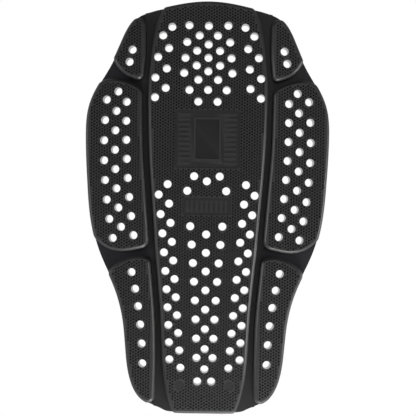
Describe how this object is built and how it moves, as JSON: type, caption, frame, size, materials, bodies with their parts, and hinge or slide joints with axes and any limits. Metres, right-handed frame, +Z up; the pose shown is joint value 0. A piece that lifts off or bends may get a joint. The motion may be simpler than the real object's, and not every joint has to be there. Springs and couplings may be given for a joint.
{
  "type": "back protector",
  "caption": "Perforated rubber-foam motorcycle back protector insert with a long spine pad and three hinged pads on each side.",
  "frame": {"origin": "middle of the flat body-side face of the spine liner", "axes": "+Z up the spine to the neck end, +X to the wearer's right, +Y towards the wearer's back; the textured outer face looks along -Y"},
  "size_m": [0.261, 0.0206, 0.44],
  "materials": {
    "textured_rubber": "satin",
    "carrier_rubber": "satin",
    "flex_rubber": "satin",
    "impact_foam": "matte",
    "comfort_foam": "matte"
  },
  "bodies": {
    "spine": {"spine_skin": "textured_rubber", "spine_core": "impact_foam", "spine_web": "carrier_rubber", "spine_liner": "comfort_foam", "right_shoulder_hinge_web": "flex_rubber", "right_rib_hinge_web": "flex_rubber", "right_waist_hinge_web": "flex_rubber", "left_shoulder_hinge_web": "flex_rubber", "left_rib_hinge_web": "flex_rubber", "left_waist_hinge_web": "flex_rubber"},
    "right_shoulder": {"right_shoulder_skin": "textured_rubber", "right_shoulder_core": "impact_foam", "right_shoulder_web": "carrier_rubber", "right_shoulder_liner": "comfort_foam"},
    "right_rib": {"right_rib_skin": "textured_rubber", "right_rib_core": "impact_foam", "right_rib_web": "carrier_rubber", "right_rib_liner": "comfort_foam"},
    "right_waist": {"right_waist_skin": "textured_rubber", "right_waist_core": "impact_foam", "right_waist_web": "carrier_rubber", "right_waist_liner": "comfort_foam"},
    "left_shoulder": {"left_shoulder_skin": "textured_rubber", "left_shoulder_core": "impact_foam", "left_shoulder_web": "carrier_rubber", "left_shoulder_liner": "comfort_foam"},
    "left_rib": {"left_rib_skin": "textured_rubber", "left_rib_core": "impact_foam", "left_rib_web": "carrier_rubber", "left_rib_liner": "comfort_foam"},
    "left_waist": {"left_waist_skin": "textured_rubber", "left_waist_core": "impact_foam", "left_waist_web": "carrier_rubber", "left_waist_liner": "comfort_foam"}
  },
  "joints": [
    {"name": "right_shoulder_hinge", "type": "hinge", "parent": "spine", "child": "right_shoulder", "pos_m": [0.06603, -0.004, 0.132], "axis": [-0.0592, 0, 0.9982], "range_deg": [-12, 26], "stiffness_Nm_per_rad": 0.05, "deforming": ["right_shoulder_hinge_web"]},
    {"name": "right_rib_hinge", "type": "hinge", "parent": "spine", "child": "right_rib", "pos_m": [0.05803, -0.004, -0.0319], "axis": [0.0569, 0, 0.9984], "range_deg": [-12, 26], "stiffness_Nm_per_rad": 0.1, "deforming": ["right_rib_hinge_web"]},
    {"name": "right_waist_hinge", "type": "hinge", "parent": "spine", "child": "right_waist", "pos_m": [0.0492, -0.004, -0.18524], "axis": [0.0518, 0, 0.9987], "range_deg": [-12, 26], "stiffness_Nm_per_rad": 0.08, "deforming": ["right_waist_hinge_web"]},
    {"name": "left_shoulder_hinge", "type": "hinge", "parent": "spine", "child": "left_shoulder", "pos_m": [-0.06603, -0.004, 0.132], "axis": [-0.0592, 0, -0.9982], "range_deg": [-12, 26], "stiffness_Nm_per_rad": 0.05, "deforming": ["left_shoulder_hinge_web"]},
    {"name": "left_rib_hinge", "type": "hinge", "parent": "spine", "child": "left_rib", "pos_m": [-0.05803, -0.004, -0.0319], "axis": [0.0569, 0, -0.9984], "range_deg": [-12, 26], "stiffness_Nm_per_rad": 0.1, "deforming": ["left_rib_hinge_web"]},
    {"name": "left_waist_hinge", "type": "hinge", "parent": "spine", "child": "left_waist", "pos_m": [-0.0492, -0.004, -0.18524], "axis": [0.0518, 0, -0.9987], "range_deg": [-12, 26], "stiffness_Nm_per_rad": 0.08, "deforming": ["left_waist_hinge_web"]}
  ],
  "couplings": [
    {"joint": "right_shoulder_hinge", "follows": "right_rib_hinge", "ratio": 1},
    {"joint": "right_waist_hinge", "follows": "right_rib_hinge", "ratio": 1},
    {"joint": "left_shoulder_hinge", "follows": "left_rib_hinge", "ratio": 1},
    {"joint": "left_waist_hinge", "follows": "left_rib_hinge", "ratio": 1}
  ]
}
